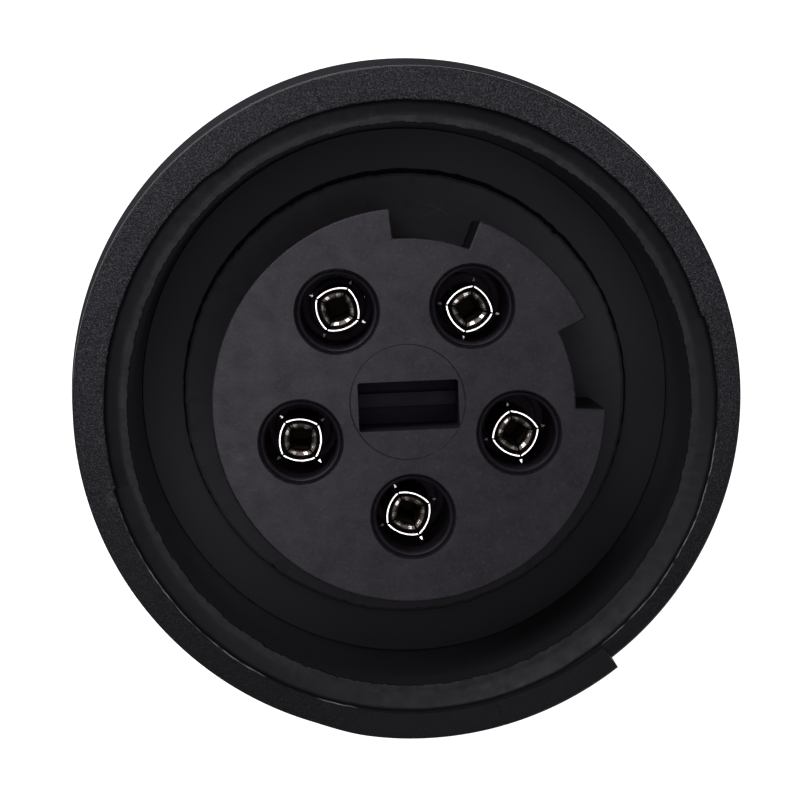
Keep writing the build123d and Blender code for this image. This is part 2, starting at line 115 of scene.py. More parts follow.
# Light: name, place and size in metres, and power
WORLD = 0.07
LIGHT_TINT = (1.0, 0.955, 1.06)
LIGHTS = [
    ("key", (-0.055, 0.125, 0.24), 0.12, 0.17),
    ("overhead", (0.0, 0.0, 0.75), 0.3, 0.75),
    ("side", (-0.33, 0.19, 0.42), 0.2, 0.25),
    ("fill", (0.25, -0.3, 0.5), 0.3, 0.4),
    ("glint", (0.013, -0.038, 0.75), 0.13, 0.05),
]


def at(depth):
    """Height in millimetres of a depth below the ring's face"""
    return FACE_Z - depth


def polar(radius, angle):
    """Point in millimetres at a radius and an angle in degrees"""
    return radius * math.cos(math.radians(angle)), radius * math.sin(math.radians(angle))


def wobble(angle, rate, size, seed=0.0):
    """Smooth irregularity round the axis, the same on every run"""
    x, y = polar(rate, angle)
    return size * noise.noise(Vector((x, y, seed)))


def blend(x, low, high):
    """0 below low, 1 above high, smooth between"""
    t = min(1.0, max(0.0, (x - low) / (high - low)))
    return t * t * (3 - 2 * t)


def tent(angle, middle, half):
    """1 at an angle, falling to 0 at half degrees to either side"""
    off = abs((angle - middle + 180.0) % 360.0 - 180.0)
    return max(0.0, 1.0 - off / half)


def between(angle, start, end, fade=3.0):
    """1 between two angles, 0 outside, with soft ends"""
    off = (angle - start) % 360.0
    span = end - start
    return blend(off, 0.0, fade) * (1.0 - blend(off, span - fade, span)) if off < span else 0.0


# Meshes


def new_object(name, vertices, faces, materials, indices=None):
    """Mesh object from millimetres"""
    mesh = bpy.data.meshes.new(name)
    mesh.from_pydata([tuple(c * MM for c in v) for v in vertices], [], faces)
    for material in materials:
        mesh.materials.append(material)
    if indices:
        mesh.polygons.foreach_set("material_index", indices)
    mesh.validate()
    obj = bpy.data.objects.new(name, mesh)
    bpy.context.scene.collection.objects.link(obj)
    return obj


def outward(obj, fill=False):
    """Turn every face outward, and close open ends first where asked"""
    mesh = bmesh.new()
    mesh.from_mesh(obj.data)
    if fill:
        bmesh.ops.holes_fill(mesh, edges=mesh.edges)
    bmesh.ops.recalc_face_normals(mesh, faces=mesh.faces)
    mesh.to_mesh(obj.data)
    mesh.free()
    return obj


def smooth(obj, degrees=35):
    """Smooth shading with sharp edges past an angle, and faces square to the axis left flat"""
    obj.data.shade_smooth()
    obj.data.set_sharp_from_angle(angle=math.radians(degrees))
    for polygon in obj.data.polygons:
        if abs(polygon.normal.z) > 0.9999:
            polygon.use_smooth = False
    return obj


def lathe(name, sections, angles, materials, bands=None, full=True):
    """Skin through closed sections of (radius, depth) points, one section for each angle.
    bands gives each strip's material, and full joins the last angle to the first."""
    count = len(sections[0])
    vertices = []
    for angle, section in zip(angles, sections):
        for radius, depth in section:
            x, y = polar(radius, angle)
            vertices.append((x, y, at(depth)))
    faces, indices = [], []
    turns = len(angles) if full else len(angles) - 1
    for i in range(turns):
        a, b = i * count, (i + 1) % len(angles) * count
        for j in range(count):
            k = (j + 1) % count
            faces.append((a + j, a + k, b + k, b + j))
            indices.append(bands[j] if bands else 0)
    return smooth(outward(new_object(name, vertices, faces, materials, indices)))


def solid_turn(name, outline, materials, bands=None, steps=192, centre=(0.0, 0.0)):
    """Turned solid with flat ends from (radius, depth) points. bands gives each strip's material."""
    count = len(outline)
    vertices, faces, indices = [], [], []
    for i in range(steps):
        for radius, depth in outline:
            x, y = polar(radius, 360.0 * i / steps)
            vertices.append((centre[0] + x, centre[1] + y, at(depth)))
    for i in range(steps):
        a, b = i * count, (i + 1) % steps * count
        for j in range(count - 1):
            faces.append((a + j, b + j, b + j + 1, a + j + 1))
            indices.append(bands[j] if bands else 0)
    faces.append(tuple(i * count for i in range(steps))[::-1])
    faces.append(tuple(i * count + count - 1 for i in range(steps)))
    indices += [indices[0], indices[-1]]
    return outward(new_object(name, vertices, faces, materials, indices))


def prism(name, outline, top, bottom, material):
    """Straight block from an (x, y) outline between two depths"""
    count = len(outline)
    vertices = [(x, y, at(bottom)) for x, y in outline] + [(x, y, at(top)) for x, y in outline]
    faces = [tuple(range(count))[::-1], tuple(range(count, 2 * count))]
    faces += [(i, (i + 1) % count, count + (i + 1) % count, count + i) for i in range(count)]
    return outward(new_object(name, vertices, faces, [material]))


def applied(obj):
    """The object with its modifiers made real"""
    graph = bpy.context.evaluated_depsgraph_get()
    mesh = bpy.data.meshes.new_from_object(obj.evaluated_get(graph))
    obj.modifiers.clear()
    obj.data = mesh
    return obj


def bevel(obj, width, segments=3, degrees=40):
    """Round the sharp edges"""
    mod = obj.modifiers.new("bevel", "BEVEL")
    mod.width = width * MM
    mod.segments = segments
    mod.limit_method = "ANGLE"
    mod.angle_limit = math.radians(degrees)
    return applied(obj)


def cut(obj, tools):
    """Take the tools out of the object, which keeps their materials on the cut faces"""
    for tool in tools:
        mod = obj.modifiers.new("cut", "BOOLEAN")
        mod.operation = "DIFFERENCE"
        mod.solver = "EXACT"
        mod.material_mode = "TRANSFER"
        mod.object = tool
    applied(obj)
    for tool in tools:
        bpy.data.objects.remove(tool)
    return obj


def join(name, objects):
    """One object from several"""
    mesh = bmesh.new()
    materials = []
    for obj in objects:
        start = len(materials)
        materials += list(obj.data.materials)
        part = obj.data.copy()
        for polygon in part.polygons:
            polygon.material_index += start
        mesh.from_mesh(part)
    data = bpy.data.meshes.new(name)
    mesh.to_mesh(data)
    mesh.free()
    for material in materials:
        data.materials.append(material)
    for obj in objects:
        bpy.data.objects.remove(obj)
    whole = bpy.data.objects.new(name, data)
    bpy.context.scene.collection.objects.link(whole)
    return whole


# Materials

# Scratches on the insert and on the seal, from one (x, y) point in millimetres to another
HAIRLINES = [
    ((-13.8, 1.3), (-10.7, 3.6)),
    ((-13.2, 3.0), (-12.1, 4.0)),
    ((-11.4, 2.2), (-9.9, 3.3)),
    ((2.9, 2.7), (4.3, 3.5)),
    ((-2.4, 10.9), (-1.2, 11.1)),
]
SCRAPES = [((5.7, -6.3), (6.6, -5.4)), ((6.2, -9.9), (6.9, -10.6))]
SEAL_MARKS = [((1.5, 13.4), (3.1, 14.2)), ((2.0, 14.4), (3.4, 13.5)), ((1.2, 14.0), (2.2, 14.3))]


class Finish:
    """A procedural material, built node by node"""

    def __init__(self, name, colour, roughness, metallic=0.0, specular=0.5):
        self.material = bpy.data.materials.new(name)
        self.material.use_nodes = True
        self.tree = self.material.node_tree
        self.shader = self.tree.nodes["Principled BSDF"]
        self.shader.inputs["Base Color"].default_value = (*colour, 1)
        self.shader.inputs["Roughness"].default_value = roughness
        self.shader.inputs["Metallic"].default_value = metallic
        self.shader.inputs["Specular IOR Level"].default_value = specular
        self.place = self.node("ShaderNodeTexCoord").outputs["Object"]
        self.normal = None

    def node(self, kind, **settings):
        made = self.tree.nodes.new(kind)
        for key, value in settings.items():
            setattr(made, key, value)
        return made

    def link(self, source, target):
        self.tree.links.new(source, target)

    def noise(self, size, detail=2.0, roughness=0.5, distortion=0.0):
        """Noise whose grains are size millimetres across"""
        made = self.node("ShaderNodeTexNoise")
        made.inputs["Scale"].default_value = 1 / (size * MM)
        made.inputs["Detail"].default_value = detail
        made.inputs["Roughness"].default_value = roughness
        made.inputs["Distortion"].default_value = distortion
        self.link(self.place, made.inputs["Vector"])
        return made.outputs["Fac"]

    def ramp(self, source, stops):
        """Map a value to (place, grey) or (place, colour) stops"""
        made = self.node("ShaderNodeValToRGB")
        elements = made.color_ramp.elements
        while len(elements) < len(stops):
            elements.new(0.5)
        for element, (place, value) in zip(elements, stops):
            element.position = place
            element.color = (*value, 1) if isinstance(value, tuple) else (value, value, value, 1)
        self.link(source, made.inputs["Fac"])
        return made.outputs["Color"]

    def math(self, operation, a, b):
        """A value from two sources or numbers"""
        made = self.node("ShaderNodeMath", operation=operation)
        for socket, value in zip(made.inputs, (a, b)):
            if isinstance(value, (int, float)):
                socket.default_value = value
            else:
                self.link(value, socket)
        return made.outputs[0]

    def mix(self, factor, a, b):
        """Blend two colours by a value"""
        made = self.node("ShaderNodeMix", data_type="RGBA")
        for socket, value in zip((made.inputs[0], made.inputs[6], made.inputs[7]), (factor, a, b)):
            if isinstance(value, (int, float)):
                socket.default_value = value
            elif isinstance(value, tuple):
                socket.default_value = (*value, 1)
            else:
                self.link(value, socket)
        return made.outputs[2]

    def attribute(self, name):
        return self.node("ShaderNodeAttribute", attribute_name=name).outputs["Fac"]

    def radius(self):
        """Distance from the axis in metres"""
        split = self.node("ShaderNodeSeparateXYZ")
        self.link(self.place, split.inputs[0])
        x, y = split.outputs[0], split.outputs[1]
        return self.math("SQRT", self.math("ADD", self.squared(x), self.squared(y)), 0.0)

    def squared(self, value):
        return self.math("MULTIPLY", value, value)

    def along(self, angle, low, high):
        """0 to 1 across the piece in the direction of an angle, between two distances in millimetres"""
        made = self.node("ShaderNodeVectorMath", operation="DOT_PRODUCT")
        self.link(self.place, made.inputs[0])
        made.inputs[1].default_value = (*polar(1, angle), 0)
        return self.between(made.outputs["Value"], low * MM, high * MM)

    def height(self, low, high):
        """0 to 1 up the piece, between two depths below the ring's face"""
        split = self.node("ShaderNodeSeparateXYZ")
        self.link(self.place, split.inputs[0])
        return self.between(split.outputs[2], at(low) * MM, at(high) * MM)

    def between(self, value, low, high):
        """0 below low, 1 above high"""
        made = self.node("ShaderNodeMapRange", interpolation_type="SMOOTHSTEP")
        made.inputs["From Min"].default_value = low
        made.inputs["From Max"].default_value = high
        self.link(value, made.inputs["Value"])
        return made.outputs["Result"]

    def bump(self, height, strength, distance):
        """Add relief: distance in millimetres"""
        made = self.node("ShaderNodeBump")
        made.inputs["Strength"].default_value = strength
        made.inputs["Distance"].default_value = distance * MM
        self.link(height, made.inputs["Height"])
        if self.normal:
            self.link(self.normal, made.inputs["Normal"])
        self.normal = made.outputs["Normal"]
        self.link(self.normal, self.shader.inputs["Normal"])
        return self

    def colour(self, source):
        self.link(source, self.shader.inputs["Base Color"])
        return self

    def rough(self, source):
        self.link(source, self.shader.inputs["Roughness"])
        return self

    def scratches(self, lines, width):
        """1 on straight marks between (x, y) points in millimetres, 0 beside them"""
        bent = self.node("ShaderNodeVectorMath", operation="ADD")
        swing = self.node("ShaderNodeVectorMath", operation="SCALE")
        turbulence = self.node("ShaderNodeTexNoise")
        turbulence.inputs["Scale"].default_value = 700.0
        self.link(self.place, turbulence.inputs["Vector"])
        self.link(turbulence.outputs["Color"], swing.inputs[0])
        swing.inputs["Scale"].default_value = 0.12 * MM
        self.link(self.place, bent.inputs[0])
        self.link(swing.outputs[0], bent.inputs[1])
        split = self.node("ShaderNodeSeparateXYZ")
        self.link(bent.outputs[0], split.inputs[0])
        marks = 0.0
        for (x0, y0), (x1, y1) in lines:
            length = math.hypot(x1 - x0, y1 - y0)
            ux, uy = (x1 - x0) / length, (y1 - y0) / length
            mx, my = (x0 + x1) / 2 * MM, (y0 + y1) / 2 * MM
            dx, dy = self.math("SUBTRACT", split.outputs[0], mx), self.math("SUBTRACT", split.outputs[1], my)
            along = self.math("ADD", self.math("MULTIPLY", dx, ux), self.math("MULTIPLY", dy, uy))
            beside = self.math("ADD", self.math("MULTIPLY", dx, -uy), self.math("MULTIPLY", dy, ux))
            near = self.math("LESS_THAN", self.math("ABSOLUTE", beside, 0.0), width / 2 * MM)
            inside = self.math("LESS_THAN", self.math("ABSOLUTE", along, 0.0), length / 2 * MM)
            marks = self.math("MAXIMUM", self.math("MULTIPLY", near, inside), marks)
        return marks


def grained_plastic():
    """Black plastic with spark-eroded grain, which fades where the grain attribute does, with paler nicks and
    a painted highlight on the lower spans of the mouth's edge, and painted shade toward the bottom
    """
    f = Finish("ring_face", (0.009, 0.009, 0.01), 0.5, 0.0, 0.38)
    # painted shade: the face is painted darker toward the bottom, away from the light at 95 degrees; the same
    # mask makes the upper side glossier
    lit_side = f.along(95.0, -20.0, 9.0)
    grain = f.attribute("grain")
    fine = f.noise(0.11, 1.0, 0.7)
    coarse = f.noise(0.26, 2.0, 0.6)
    height = f.math("ADD", fine, f.math("MULTIPLY", coarse, 0.9))
    f.bump(f.math("MULTIPLY", height, grain), 1.0, 0.095)
    speck = f.ramp(f.noise(0.12, 1.0, 0.6), [(0.5, 0.0), (0.57, 1.0)])
    pit = f.ramp(f.noise(0.16, 1.0, 0.6), [(0.38, 0.0), (0.5, 1.0)])
    hues = [(0.35, (0.046, 0.037, 0.058)), (0.5, (0.037, 0.041, 0.048)), (0.65, (0.054, 0.04, 0.05))]
    hue = f.ramp(f.noise(0.5, 3.0, 0.7), hues)
    cloud = f.ramp(f.noise(3.5, 4.0, 0.6), [(0.35, 0.0), (0.7, 1.0)])
    base = f.mix(cloud, (0.003, 0.0027, 0.0036), (0.0055, 0.005, 0.0066))
    base = f.mix(f.math("MULTIPLY", speck, grain), base, hue)
    base = f.mix(pit, (0.003, 0.003, 0.0033), base)
    # painted shade toward the bottom of the face
    base = f.mix(lit_side, f.mix(0.75, base, (0.0015, 0.0013, 0.0018)), base)
    # pale grey from the attribute: a painted highlight on the lower spans of the mouth's edge, and paler
    # nicks
    f.colour(f.mix(f.attribute("nicks_and_highlight"), base, (0.3, 0.3, 0.31)))
    f.rough(f.math("SUBTRACT", f.ramp(fine, [(0.35, 0.78), (0.7, 0.88)]), f.math("MULTIPLY", lit_side, 0.36)))
    return f.material


def edge_plastic():
    """Burnished rim"""
    f = Finish("ring_edge", (0.012, 0.012, 0.013), 0.24)
    f.rough(f.ramp(f.noise(0.6, 3.0, 0.6), [(0.35, 0.16), (0.7, 0.34)]))
    f.bump(f.noise(0.3, 2.0, 0.6), 0.3, 0.006)
    return f.material


def lip_plastic():
    """Flat lip with wear: cloudy scuffs along the ring and paler abraded patches, and painted shade on its
    outer slope up to the mouth
    """
    f = Finish("ring_lip", (0.012, 0.012, 0.0135), 0.5, 0.0, 0.25)
    scuff = f.ramp(f.noise(1.6, 6.0, 0.7, 0.8), [(0.42, 0.0), (0.7, 1.0)])
    fine = f.ramp(f.noise(0.25, 3.0, 0.6), [(0.5, 0.0), (0.75, 1.0)])
    base = f.mix(scuff, (0.0048, 0.0046, 0.0058), (0.0165, 0.016, 0.0185))
    base = f.mix(f.math("MULTIPLY", fine, 0.45), base, (0.025, 0.0245, 0.0275))
    ragged = f.math("ADD", f.radius(), f.math("MULTIPLY", f.noise(1.1, 3.0, 0.6), 0.25 * MM))
    # painted shade: the outer slope, from the lip up to the mouth, is painted dark, with a ragged edge
    dark = f.between(ragged, (LIP - 0.1) * MM, (LIP + 0.3) * MM)
    f.colour(f.mix(dark, base, (0.006, 0.006, 0.007)))
    f.rough(f.ramp(f.noise(0.8, 4.0, 0.6), [(0.3, 0.42), (0.75, 0.62)]))
    f.bump(f.noise(0.5, 4.0, 0.65), 0.5, 0.02)
    return f.material


def smooth_plastic(name, colour, roughness, grain=0.6, relief=0.01, specular=0.5):
    """Moulded plastic with faint mottling"""
    f = Finish(name, colour, roughness, 0.0, specular)
    mottle = f.noise(6.0, 4.0, 0.6)
    light = tuple(c * 1.12 for c in colour)
    dark = tuple(c * 0.9 for c in colour)
    f.colour(f.mix(f.ramp(mottle, [(0.35, 0.0), (0.7, 1.0)]), dark, light))
    f.rough(f.ramp(f.noise(2.5, 5.0, 0.6), [(0.3, roughness - 0.06), (0.75, roughness + 0.08)]))
    f.bump(f.noise(grain, 3.0, 0.6), 0.5, relief)
    return f.material


def wall_plastic():
    """Dull inner wall of the ring, with painted light: lighter on the 125 degree side and lighter still
    toward its foot
    """
    f = Finish("ring_wall", (0.04, 0.038, 0.045), 0.6, 0.0, 0.1)
    # painted light: lighter on the side toward 125 degrees and toward the foot, where shade falls
    across = f.along(125.0, -16.0, 16.0)
    near = f.mix(across, (0.026, 0.0253, 0.0278), (0.07, 0.068, 0.0755))
    foot = f.mix(across, (0.078, 0.076, 0.083), (0.086, 0.0838, 0.0915))
    f.colour(f.mix(f.height(15.5, 5.0), foot, near))
    f.bump(f.noise(1.0, 3.0, 0.6), 0.5, 0.004)
    return f.material


def floor_plastic():
    """Dull floor of the recess, with painted light: lighter toward the 125 degree side, where the ring's wall
    shades it
    """
    f = Finish("housing", (0.033, 0.0315, 0.037), 0.6, 0.0, 0.1)
    # painted light on the 125 degree side, in the wall's shadow
    f.colour(f.mix(f.along(125.0, -16.0, 16.0), (0.0265, 0.026, 0.0287), (0.04, 0.0392, 0.043)))
    f.bump(f.noise(0.5, 3.0, 0.6), 0.5, 0.01)
    return f.material


def insert_plastic():
    """Satin dark plastic with a violet cast: orange peel, scuffs, pale specks and hairline scratches, with
    painted shade toward the side away from 158 degrees
    """
    f = Finish("insert_face", (0.017, 0.015, 0.019), 0.45, 0.0, 0.34)
    cloud = f.ramp(f.noise(3.0, 5.0, 0.62, 0.4), [(0.36, 0.0), (0.68, 1.0)])
    base = f.mix(cloud, (0.0072, 0.0058, 0.0083), (0.0195, 0.0162, 0.0222))
    rub = f.ramp(f.noise(0.55, 3.0, 0.7, 0.6), [(0.4, 0.0), (0.66, 1.0)])
    base = f.mix(f.math("MULTIPLY", rub, 0.5), base, (0.03, 0.0268, 0.034))
    speck = f.ramp(f.noise(0.22, 2.0, 0.6), [(0.6, 0.0), (0.72, 1.0)])
    base = f.mix(f.math("MULTIPLY", speck, 0.5), base, (0.055, 0.05, 0.057))
    # painted shade: darker toward the side away from 158 degrees, away from the light
    base = f.mix(f.along(158.0, -15.0, 4.0), f.mix(0.16, base, (0.0, 0.0, 0.0)), base)
    scratch = f.math("MAXIMUM", f.scratches(HAIRLINES, 0.05), f.scratches(SCRAPES, 0.06))
    f.colour(f.mix(f.math("MULTIPLY", scratch, 0.1), base, (0.1, 0.095, 0.1)))
    gloss = f.math("MULTIPLY", f.along(158.0, -13.0, 12.0), 0.2)
    f.rough(f.math("SUBTRACT", f.ramp(f.noise(1.1, 4.0, 0.6), [(0.3, 0.56), (0.75, 0.7)]), gloss))
    f.bump(f.noise(0.26, 3.0, 0.65), 0.7, 0.022)
    f.bump(f.noise(0.9, 3.0, 0.6), 0.6, 0.035)
    f.bump(f.noise(3.6, 2.0, 0.5), 0.5, 0.04)
    return f.material


def bore_plastic():
    """Dark inside of the bores, with painted light: paler toward the foot, where shade falls deep in the bore
    """
    f = Finish("bore_wall", (0.04, 0.032, 0.044), 0.5, 0.0, 0.15)
    # painted light: paler deep down, darker near the mouth
    f.colour(f.mix(f.height(NOSE_DEPTH + 12.0, NOSE_DEPTH + 2.0), (0.2, 0.16, 0.19), (0.011, 0.009, 0.0125)))
    f.bump(f.noise(1.2, 2.0, 0.5), 0.25, 0.01)
    return f.material


def slot_plastic():
    """Dark violet wall of the slot"""
    f = Finish("slot_wall", (0.038, 0.029, 0.048), 0.5, 0.0, 0.1)
    f.bump(f.noise(0.8, 3.0, 0.5), 0.3, 0.01)
    return f.material


def plating(name, colour, roughness):
    """Silver plating with faint turning marks and tarnish"""
    f = Finish(name, colour, roughness, metallic=1.0)
    stain = f.noise(0.7, 3.0, 0.6)
    dull = tuple(c * 0.72 for c in colour)
    f.colour(f.mix(f.ramp(stain, [(0.45, 0.0), (0.75, 1.0)]), colour, dull))
    f.rough(f.ramp(f.noise(0.4, 3.0, 0.6), [(0.3, roughness - 0.05), (0.8, roughness + 0.12)]))
    f.bump(f.noise(0.15, 2.0, 0.6), 0.25, 0.004)
    return f.material


def rubber(name, colour, roughness):
    """Seal rubber with dust in its grain"""
    f = Finish(name, colour, roughness)
    dusty = f.ramp(f.noise(1.5, 5.0, 0.7), [(0.4, 0.0), (0.8, 1.0)])
    speck = f.ramp(f.noise(0.3, 2.0, 0.6), [(0.62, 0.0), (0.74, 1.0)])
    base = f.mix(dusty, colour, tuple(c * 1.8 for c in colour))
    marks = f.scratches(SEAL_MARKS, 0.05)
    base = f.mix(f.math("MULTIPLY", speck, 0.35), base, tuple(c * 4 for c in colour))
    f.colour(f.mix(f.math("MULTIPLY", marks, 0.6), base, tuple(c * 6 for c in colour)))
    f.bump(f.noise(0.25, 4.0, 0.6), 0.5, 0.02)
    return f.material


RING_FACE = grained_plastic()
RING_EDGE = edge_plastic()
RING_SIDE = smooth_plastic("ring_side", (0.034, 0.033, 0.036), 0.7, 0.4, 0.015, 0.0)
RING_LIP = lip_plastic()
RING_WALL = wall_plastic()
HOUSING = floor_plastic()
SLEEVE = smooth_plastic("sleeve", (0.011, 0.011, 0.012), 0.5, 0.3, 0.02, 0.25)
INSERT = insert_plastic()
INSERT_SIDE = smooth_plastic("insert_side", (0.006, 0.0055, 0.0065), 0.55, 0.4, 0.01, 0.3)
BORE_WALL = bore_plastic()
SLOT_WALL = slot_plastic()
SLOT_RIB = smooth_plastic("slot_rib", (0.034, 0.0265, 0.043), 0.6, 0.5, 0.01, 0.1)
SLOT_FLOOR = smooth_plastic("slot_floor", (0.02, 0.0145, 0.0255), 0.6, 0.5, 0.01, 0.1)
# The contact's silver comes in lit and shaded copies: bright silver, a dull copy on the land and a near-black
# copy deep down, painted shade
SILVER = plating("contact_silver", (0.9, 0.88, 0.84), 0.2)
SILVER_IN = plating("contact_funnel", (0.05, 0.038, 0.026), 0.35)
SILVER_LAND = plating("contact_land", (0.13, 0.113, 0.092), 0.36)
SILVER_SHADED = plating("contact_painted_shade", (0.0045, 0.004, 0.0035), 0.4)
DEPTH = smooth_plastic("deep_shadow", (0.007, 0.0068, 0.0076), 0.8, 1.0, 0.002, 0.0)
# Flat tones painted for the depths: the hole's dull brown paints silver deep inside each contact in shade,
# and the foot's tone, paler than the insert's plastic, paints light at the foot of each bore
HOLE = smooth_plastic("contact_hole", (0.075, 0.056, 0.036), 0.6, 0.4, 0.005, 0.2)
BORE_FOOT = smooth_plastic("bore_foot", (0.1, 0.079, 0.097), 0.6, 0.4, 0.005, 0.1)
STEEL = plating("screw_steel", (0.6, 0.6, 0.61), 0.3)
GASKET = rubber("gasket_rubber", (0.0075, 0.0073, 0.0082), 0.66)
NUT = smooth_plastic("nut_plastic", (0.01, 0.01, 0.011), 0.5, 0.3, 0.02, 0.25)
CAGE = smooth_plastic("cage_plastic", (0.012, 0.012, 0.013), 0.35)
WASHER = smooth_plastic("washer_plastic", (0.5, 0.49, 0.45), 0.45)


# Coupling ring


def rim_reach(angle):
    """Radius of the rim, which carries the cam and the relief past its end"""
    past = (angle - CAM_TO) % 360.0
    if CAM_FROM <= angle <= CAM_TO:
        return RIM + (CAM_REACH - RIM) * blend(angle, CAM_FROM, CAM_FROM + CAM_RUN)
    if past < RELIEF_SPAN:
        step = past / RELIEF_SPAN * (len(RELIEF) - 1)
        k = min(int(step), len(RELIEF) - 2)
        return RELIEF[k] + (RELIEF[k + 1] - RELIEF[k]) * (step - k)
    return RIM


def cam_lift(angle):
    """How far the cam's face stands proud"""
    if CAM_FROM <= angle <= CAM_TO:
        run, whole = math.radians(angle - CAM_FROM), math.radians(CAM_TO - CAM_FROM)
        return CAM_RISE * math.sin(run) / math.sin(whole)
    return 0.0


def mouth_edge(angle):
    """Inner edge of the grained face: two half circles of slightly different radius, and a kink"""
    wide = MOUTH_WIDE if not SEAM <= angle <= SEAM + 180 else MOUTH
    uneven = wobble(angle, 9.0, 0.05, 3.0) + wobble(angle, 45.0, 0.03, 4.0)
    return wide + aside(angle) + uneven - 0.2 * tent(angle, EDGE_KINK, 3.5)


def aside(angle):
    """How far the mouth, moulded slightly off the axis, stands out at an angle"""
    return MOUTH_X * math.cos(math.radians(angle)) + MOUTH_Y * math.sin(math.radians(angle))


def flute(angle, depth):
    """How far a grip flute cuts in"""
    pitch = 360.0 / FLUTES
    off = (angle + pitch / 2) % pitch - pitch / 2
    across = math.radians(off) * COLLAR
    centre = COLLAR + FLUTE_R - FLUTE_DEEP
    if abs(across) >= FLUTE_R:
        return 0.0
    bite = COLLAR - (centre - math.sqrt(FLUTE_R ** 2 - across ** 2))
    start = blend(depth, FLUTE_FROM, FLUTE_FROM + FLUTE_RUN)
    return max(0.0, bite) * start * (1 - blend(depth, FLUTE_TO - FLUTE_RUN, FLUTE_TO))


def seam_dip(angle):
    """Depth of the fine lines that the mould's parts leave across the face"""
    return SEAM_DEPTH * max(tent(angle, seam, SEAM_HALF) for seam in SEAMS)


def ring_section(angle):
    """Closed half section of the ring at an angle, from the mouth's edge outward and round, with its bands"""
    rim, lift, mouth, dip = rim_reach(angle), cam_lift(angle), mouth_edge(angle), seam_dip(angle)
    nick = 0.2 * tent(angle, SEAM_NICK, 0.9) + 0.5 * tent(angle, EDGE_NICK, 1.3)
    lean = FACE_LEAN * (1 - blend(lift, 0.0, 0.3))
    lip_in = WALL + aside(angle) + wobble(angle, 14.0, 0.07, 5.0) + wobble(angle, 70.0, 0.11, 6.0)
    lip_out = LIP + aside(angle) + wobble(angle, 7.0, 0.16, 7.0) + wobble(angle, 40.0, 0.06, 8.0)
    points = [(mouth, 0.08 + 0.6 * nick), (mouth + 0.03 + 0.4 * nick, 0.03 + 0.25 * nick)]
    points += [(mouth + 0.09 + nick, dip)]
    points += [(CAM_INNER - 0.02, dip + lean * 0.2), (CAM_INNER + 0.02, dip + lean * 0.2 - lift)]
    points += [(CAM_INNER + 0.5, dip + lean * 0.4 - lift), (rim - 0.6, dip + lean * 0.8 - lift)]
    points += [(rim - 0.1, dip + lean - lift)]
    face = len(points) - 1
    for off, drop in ((0.06, 0.015), (0.03, 0.035), (0.01, 0.06), (0.0, 0.1)):
        points.append((rim - off - dip * 0.3, lean + drop - lift))
    edge = len(points) - 1
    points += [(rim, 1.2), (rim, 3.0), (rim, 4.4), (max(rim, RIM), 4.6), (RIM + 0.005, LAND)]
    for i in range(1, 9):
        t = i / 8
        points.append((RIM + (COLLAR - RIM) * blend(t, 0, 1), LAND + (COLLAR_DEPTH - LAND) * t))
    points += [(COLLAR, FLUTE_FROM - 0.4)]
    depths = [FLUTE_FROM + FLUTE_RUN * i / 5 for i in range(6)] + [18.5, 21.0, 24.0, 27.0, 28.5]
    depths += [FLUTE_TO - FLUTE_RUN + FLUTE_RUN * i / 5 for i in range(6)]
    points += [(COLLAR - flute(angle, depth), depth) for depth in depths]
    points += [(COLLAR, SKIRT_END - 2.0), (COLLAR - 0.25, SKIRT_END - 1.2)]
    points += [(COLLAR - 0.8, SKIRT_END - 0.4), (COLLAR - 1.3, SKIRT_END)]
    points += [(SKIRT_INNER, SKIRT_END), (SKIRT_INNER, WEB_BACK)]
    points += [(NECK + 0.05, WEB_BACK), (NECK + 0.05, WEB), (WALL_FOOT, WEB)]
    side = len(points) - 1
    for depth in (17.0, 14.0, 11.0, 8.0, 5.0, 3.0, 2.0):
        straight = WALL + (WALL_FOOT - WALL) * (depth - WALL_TOP) / (WEB - WALL_TOP)
        points.append((straight + aside(angle) * blend(depth, 17.0, 3.0), depth))
    points += [(lip_in - 0.02, LIP_DEPTH + 0.5), (lip_in, LIP_DEPTH + 0.25)]
    wall = len(points) - 1
    points += [(lip_in + 0.01, LIP_DEPTH + 0.06), (lip_in + 0.04, LIP_DEPTH + 0.01)]
    points += [(lip_in + 0.1, LIP_DEPTH), (lip_in + 0.3, LIP_DEPTH)]
    points += [(lip_out - 0.12, LIP_DEPTH), (lip_out, LIP_DEPTH - 0.015)]
    lip = len(points) - 1
    points += [(lip_out + 0.15, LIP_DEPTH - 0.07), (mouth - 0.28, 0.69), (mouth - 0.12, 0.6)]
    points += [(mouth - 0.05, 0.48), (mouth - 0.02, 0.3)]
    bands = [0] * face + [4] * (edge - face) + [1] * (side - edge) + [2] * (wall - side) + [3] * (lip - wall)
    bands += [3] * (len(points) - lip)
    return points, bands


